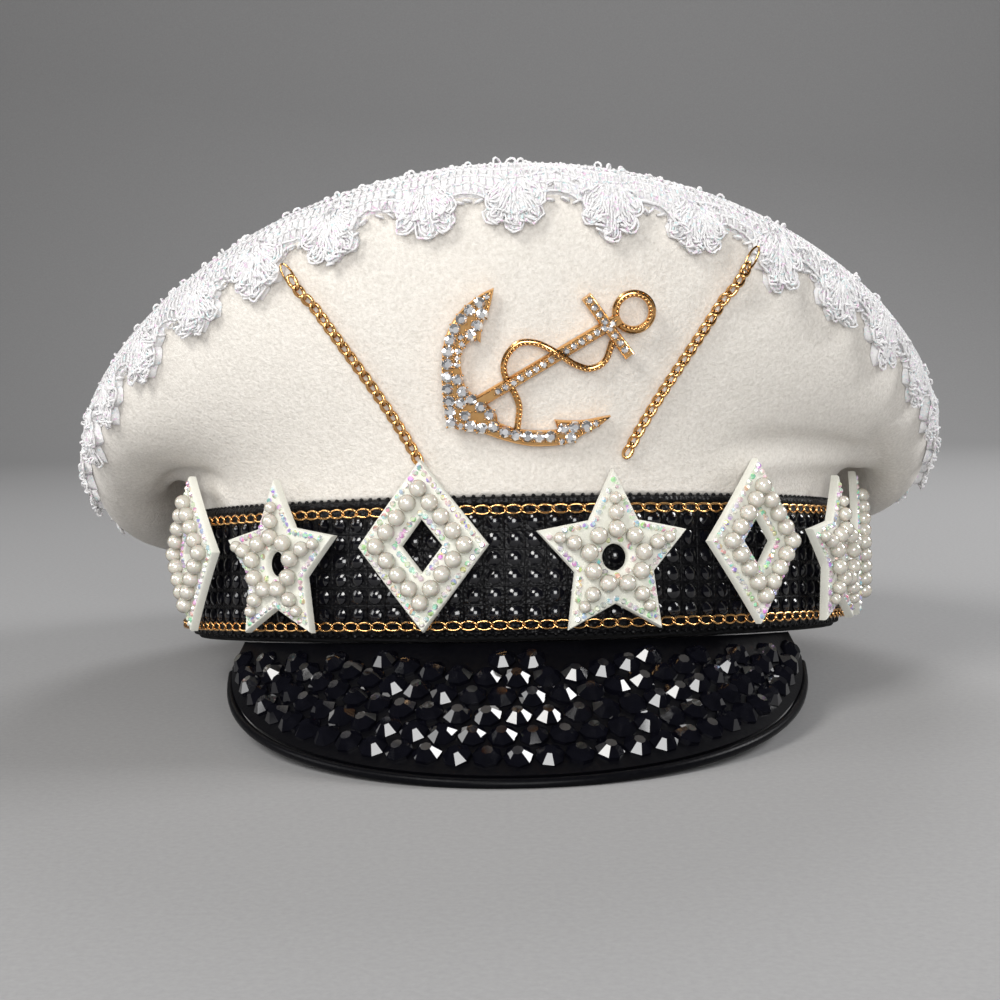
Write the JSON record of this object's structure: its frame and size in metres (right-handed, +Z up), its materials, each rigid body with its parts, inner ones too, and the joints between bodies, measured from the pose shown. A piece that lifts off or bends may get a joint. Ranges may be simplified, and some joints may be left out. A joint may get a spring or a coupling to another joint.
{
  "type": "captain hat",
  "caption": "Padded white captain hat with a lace edge, a black stone-set band and visor, pearl patches, gold chains and an anchor brooch.",
  "frame": {"origin": "on the surface that the hat rests on, under the middle of its outline", "axes": "+Z up, -Y towards the visor and the front, +X towards the wearer's left"},
  "size_m": [0.2444, 0.2664, 0.1396],
  "materials": {
    "crown_fabric": "soft short pile, warm white",
    "lace": "white thread lace with a slight shine",
    "band_black": "matt black cloth",
    "stone_black": "black cut glass, polished",
    "visor_black": "glossy black",
    "gold": "polished gold plate",
    "felt_cream": "cream felt",
    "pearl": "pearl coated beads",
    "crystal": "clear cut crystals"
  },
  "bodies": {
    "root": {"band": "band_black", "stone_band": "stone_black", "band_chain_top": "gold", "band_chain_bottom": "gold", "crown_wall": "crown_fabric", "crown_top": "crown_fabric", "lace_trim": "lace", "visor": "visor_black", "visor_binding": "visor_black", "anchor": "gold", "chain_left": "gold", "chain_right": "gold", "patch_1": "felt_cream", "patch_2": "felt_cream", "patch_3": "felt_cream", "patch_4": "felt_cream", "patch_5": "felt_cream", "patch_6": "felt_cream", "patch_7": "felt_cream"}
  },
  "joints": []
}
